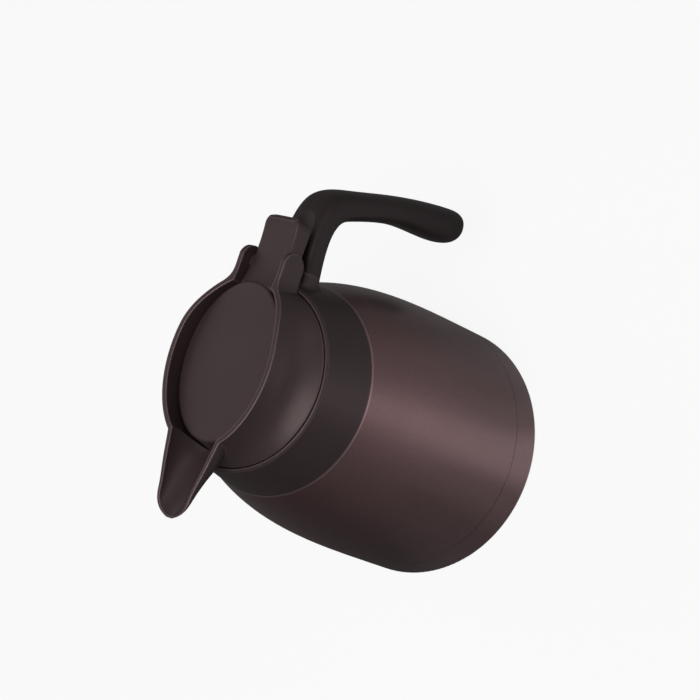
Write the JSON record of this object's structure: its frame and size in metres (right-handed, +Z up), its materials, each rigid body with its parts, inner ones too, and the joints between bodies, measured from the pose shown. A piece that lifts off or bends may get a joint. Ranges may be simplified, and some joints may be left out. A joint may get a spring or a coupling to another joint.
{
  "type": "vacuum jug",
  "caption": "Insulated serving jug with a metal vacuum body, a dark collar, a free-hanging handle and a lift-out lid unit whose oval lid rocks open behind a spout.",
  "frame": {"origin": "centre of the foot ring, on the table plane", "axes": "+Z up along the jug's axis, +X towards the handle, -X towards the spout; the plane Y = 0 halves the jug"},
  "size_m": [0.2048, 0.14, 0.1875],
  "materials": {
    "body_metal": "satin metallic brown",
    "flask_steel": "brushed",
    "foil": "bright",
    "small_steel": "plain",
    "dark_plastic": "matte very dark brown",
    "lid_plastic": "matte dark brown",
    "inner_plastic": "matte",
    "foam": "foam",
    "silicone": "matte"
  },
  "bodies": {
    "jug_body": {"outer_shell": "body_metal", "base_cup": "body_metal", "vacuum_seal": "small_steel", "flask_bottom": "flask_steel", "flask_wall": "flask_steel", "flask_neck": "flask_steel", "radiation_foil": "foil", "getter": "small_steel", "collar": "dark_plastic", "shoulder_seal": "silicone", "handle": "dark_plastic", "handle_screws": "small_steel"},
    "lid_seat": {"stopper_gasket": "silicone"},
    "lid_unit": {"pour_ring": "lid_plastic", "stopper_body": "inner_plastic", "pour_duct": "inner_plastic", "stopper_foam": "foam", "duct_seal": "silicone", "hinge_pin": "small_steel", "hinge_spring": "small_steel"},
    "lid_flap": {"lid_cap": "lid_plastic", "lid_plug": "inner_plastic", "lid_foam": "foam", "lid_gasket": "silicone"}
  },
  "joints": [
    {"name": "lid_lift", "type": "slide", "parent": "jug_body", "child": "lid_seat", "axis": [0, 0, 1], "range_m": [0, 0.06]},
    {"name": "lid_turn", "type": "hinge", "parent": "lid_seat", "child": "lid_unit", "pos_m": [0, 0, 0.164], "axis": [0, 0, 1], "range_deg": [0, 90]},
    {"name": "lid_open", "type": "hinge", "parent": "lid_unit", "child": "lid_flap", "pos_m": [0.0546, 0, 0.1705], "axis": [0, 1, 0], "range_deg": [0, 8.5], "stiffness_Nm_per_rad": 0.15, "springref_deg": -20.05, "deforming": ["hinge_spring"]}
  ]
}
